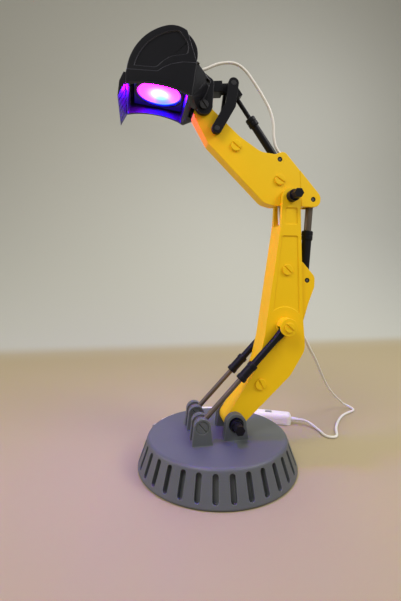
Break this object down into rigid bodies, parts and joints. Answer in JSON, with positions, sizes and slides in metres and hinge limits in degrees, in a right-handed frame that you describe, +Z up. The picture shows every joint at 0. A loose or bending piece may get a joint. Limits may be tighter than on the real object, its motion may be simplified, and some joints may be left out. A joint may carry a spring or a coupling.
{
  "type": "excavator table lamp",
  "caption": "Table lamp shaped like an excavator arm: ribbed round base, hinged boom and stick with dummy cylinders, and a tilting bucket that holds a round light",
  "frame": {"origin": "middle of the round grip pad's underside, on the table", "axes": "+Z up, -X towards the bucket's lip, -Y towards the side with the bolt heads"},
  "size_m": [0.3211, 0.2187, 0.4213],
  "materials": {
    "base_grey": "dark grey printed plastic, matt",
    "grip_rubber": "black non-slip rubber sheet",
    "steel": "plain bright steel",
    "arm_black": "black printed plastic, satin",
    "boom_yellow": "warm yellow printed plastic, satin",
    "pin_dark": "blackened steel pins",
    "rod_grey": "grey printed plastic with a silky gloss",
    "board_white": "white circuit board",
    "diffuser": "milky diffuser, lit pink, white and blue",
    "cord_white": "white soft cord sheath",
    "switch_white": "white moulded plastic, satin",
    "button_grey": "light grey button"
  },
  "bodies": {
    "base": {"base_housing": "base_grey", "base_cover": "base_grey", "grip_pad": "grip_rubber", "cover_screws": "steel", "boom_pivot_bolt": "arm_black", "boom_pivot_nut": "arm_black", "rod_pin_screws": "base_grey", "cord_drop": "cord_white", "switch_base": "switch_white", "switch_cover": "switch_white", "switch_reliefs": "cord_white", "cord_coil": "cord_white", "plug_body": "switch_white", "plug_shell": "steel", "plug_tongue": "switch_white"},
    "boom": {"boom_near": "boom_yellow", "boom_far": "boom_yellow", "boom_screws": "boom_yellow", "barrel_pin_screws": "boom_yellow", "boom_lug_pin": "pin_dark", "stick_pivot_bolt": "arm_black", "stick_pivot_nut": "arm_black", "cord_boom": "cord_white"},
    "boom_barrel_near": {"boom_barrel_near": "arm_black", "boom_gland_near": "arm_black"},
    "boom_rod_near": {"boom_rod_near": "rod_grey"},
    "boom_barrel_far": {"boom_barrel_far": "arm_black", "boom_gland_far": "arm_black"},
    "boom_rod_far": {"boom_rod_far": "rod_grey"},
    "stick_barrel": {"stick_barrel": "arm_black", "stick_gland": "arm_black"},
    "stick_rod": {"stick_rod": "rod_grey"},
    "stick": {"stick_near": "boom_yellow", "stick_far": "boom_yellow", "stick_screws": "boom_yellow", "stick_tail_pin": "pin_dark", "bucket_barrel_pin": "pin_dark", "rocker_pin": "arm_black", "bucket_pin": "arm_black", "cord_stick": "cord_white", "cord_loop": "cord_white"},
    "bucket": {"bucket_shell": "arm_black", "bucket_lip": "arm_black", "bucket_link_pin": "arm_black", "lamp_plate": "arm_black", "lamp_cup": "arm_black", "lamp_board": "board_white", "lamp_diffuser": "diffuser"},
    "rockers": {"rocker_near": "arm_black", "rocker_far": "arm_black", "rocker_top_pin": "arm_black"},
    "link": {"bucket_link": "arm_black"},
    "bucket_barrel": {"bucket_barrel": "arm_black", "bucket_gland": "arm_black"},
    "bucket_rod": {"bucket_rod": "arm_black"},
    "switch_button": {"switch_button": "button_grey"}
  },
  "joints": [
    {"name": "boom_hinge", "type": "hinge", "parent": "base", "child": "boom", "pos_m": [0.0145, 0, 0.045], "axis": [0, -1, 0], "range_deg": [-15, 20], "deforming": ["cord_drop"]},
    {"name": "stick_hinge", "type": "hinge", "parent": "boom", "child": "stick", "pos_m": [0.076, 0, 0.2725], "axis": [0, -1, 0], "range_deg": [-20, 20], "deforming": ["cord_boom"]},
    {"name": "bucket_hinge", "type": "hinge", "parent": "stick", "child": "bucket", "pos_m": [-0.016, 0, 0.359], "axis": [0, -1, 0], "range_deg": [-20, 30], "deforming": ["cord_loop"]},
    {"name": "boom_barrel_near_hinge", "type": "hinge", "parent": "boom", "child": "boom_barrel_near", "pos_m": [0.0685, -0.0177, 0.139], "axis": [0, -1, 0], "range_deg": [-3.32, 2.49]},
    {"name": "boom_rod_near_slide", "type": "slide", "parent": "boom_barrel_near", "child": "boom_rod_near", "axis": [-0.6933, 0, -0.7207], "range_m": [-0.00923, 0.00692]},
    {"name": "boom_barrel_far_hinge", "type": "hinge", "parent": "boom", "child": "boom_barrel_far", "pos_m": [0.0685, 0.0177, 0.139], "axis": [0, -1, 0], "range_deg": [-3.32, 2.49]},
    {"name": "boom_rod_far_slide", "type": "slide", "parent": "boom_barrel_far", "child": "boom_rod_far", "axis": [-0.6933, 0, -0.7207], "range_m": [-0.00923, 0.00692]},
    {"name": "stick_barrel_hinge", "type": "hinge", "parent": "boom", "child": "stick_barrel", "pos_m": [0.095, 0, 0.186], "axis": [0, -1, 0], "range_deg": [-0.3, 0.3]},
    {"name": "stick_rod_slide", "type": "slide", "parent": "stick_barrel", "child": "stick_rod", "axis": [0.0874, 0, 0.9962], "range_m": [-0.00908, 0.00908]},
    {"name": "rocker_hinge", "type": "hinge", "parent": "stick", "child": "rockers", "pos_m": [-0.0025, 0, 0.3375], "axis": [0, -1, 0], "range_deg": [-9.42, 14.13]},
    {"name": "link_hinge", "type": "hinge", "parent": "rockers", "child": "link", "pos_m": [0.0145, 0, 0.384], "axis": [0, -1, 0], "range_deg": [-8.04, 5.36]},
    {"name": "bucket_barrel_hinge", "type": "hinge", "parent": "stick", "child": "bucket_barrel", "pos_m": [0.0655, 0, 0.312], "axis": [0, -1, 0], "range_deg": [-3.04, 4.56]},
    {"name": "bucket_rod_slide", "type": "slide", "parent": "bucket_barrel", "child": "bucket_rod", "axis": [-0.578, 0, 0.816], "range_m": [-0.00653, 0.00979]},
    {"name": "switch_press", "type": "slide", "parent": "base", "child": "switch_button", "axis": [0, 0, -1], "range_m": [0, 0.0006], "stiffness_N_per_m": 1500}
  ],
  "couplings": [
    {"joint": "boom_barrel_near_hinge", "follows": "boom_hinge", "ratio": -0.166},
    {"joint": "boom_rod_near_slide", "follows": "boom_hinge", "m_per_rad": -0.02644},
    {"joint": "boom_barrel_far_hinge", "follows": "boom_hinge", "ratio": -0.166},
    {"joint": "boom_rod_far_slide", "follows": "boom_hinge", "m_per_rad": -0.02644},
    {"joint": "stick_barrel_hinge", "follows": "stick_hinge", "ratio": 0.015},
    {"joint": "stick_rod_slide", "follows": "stick_hinge", "m_per_rad": 0.026},
    {"joint": "rocker_hinge", "follows": "bucket_hinge", "ratio": 0.471},
    {"joint": "link_hinge", "follows": "bucket_hinge", "ratio": -0.268},
    {"joint": "bucket_barrel_hinge", "follows": "bucket_hinge", "ratio": 0.152},
    {"joint": "bucket_rod_slide", "follows": "bucket_hinge", "m_per_rad": 0.0187}
  ]
}
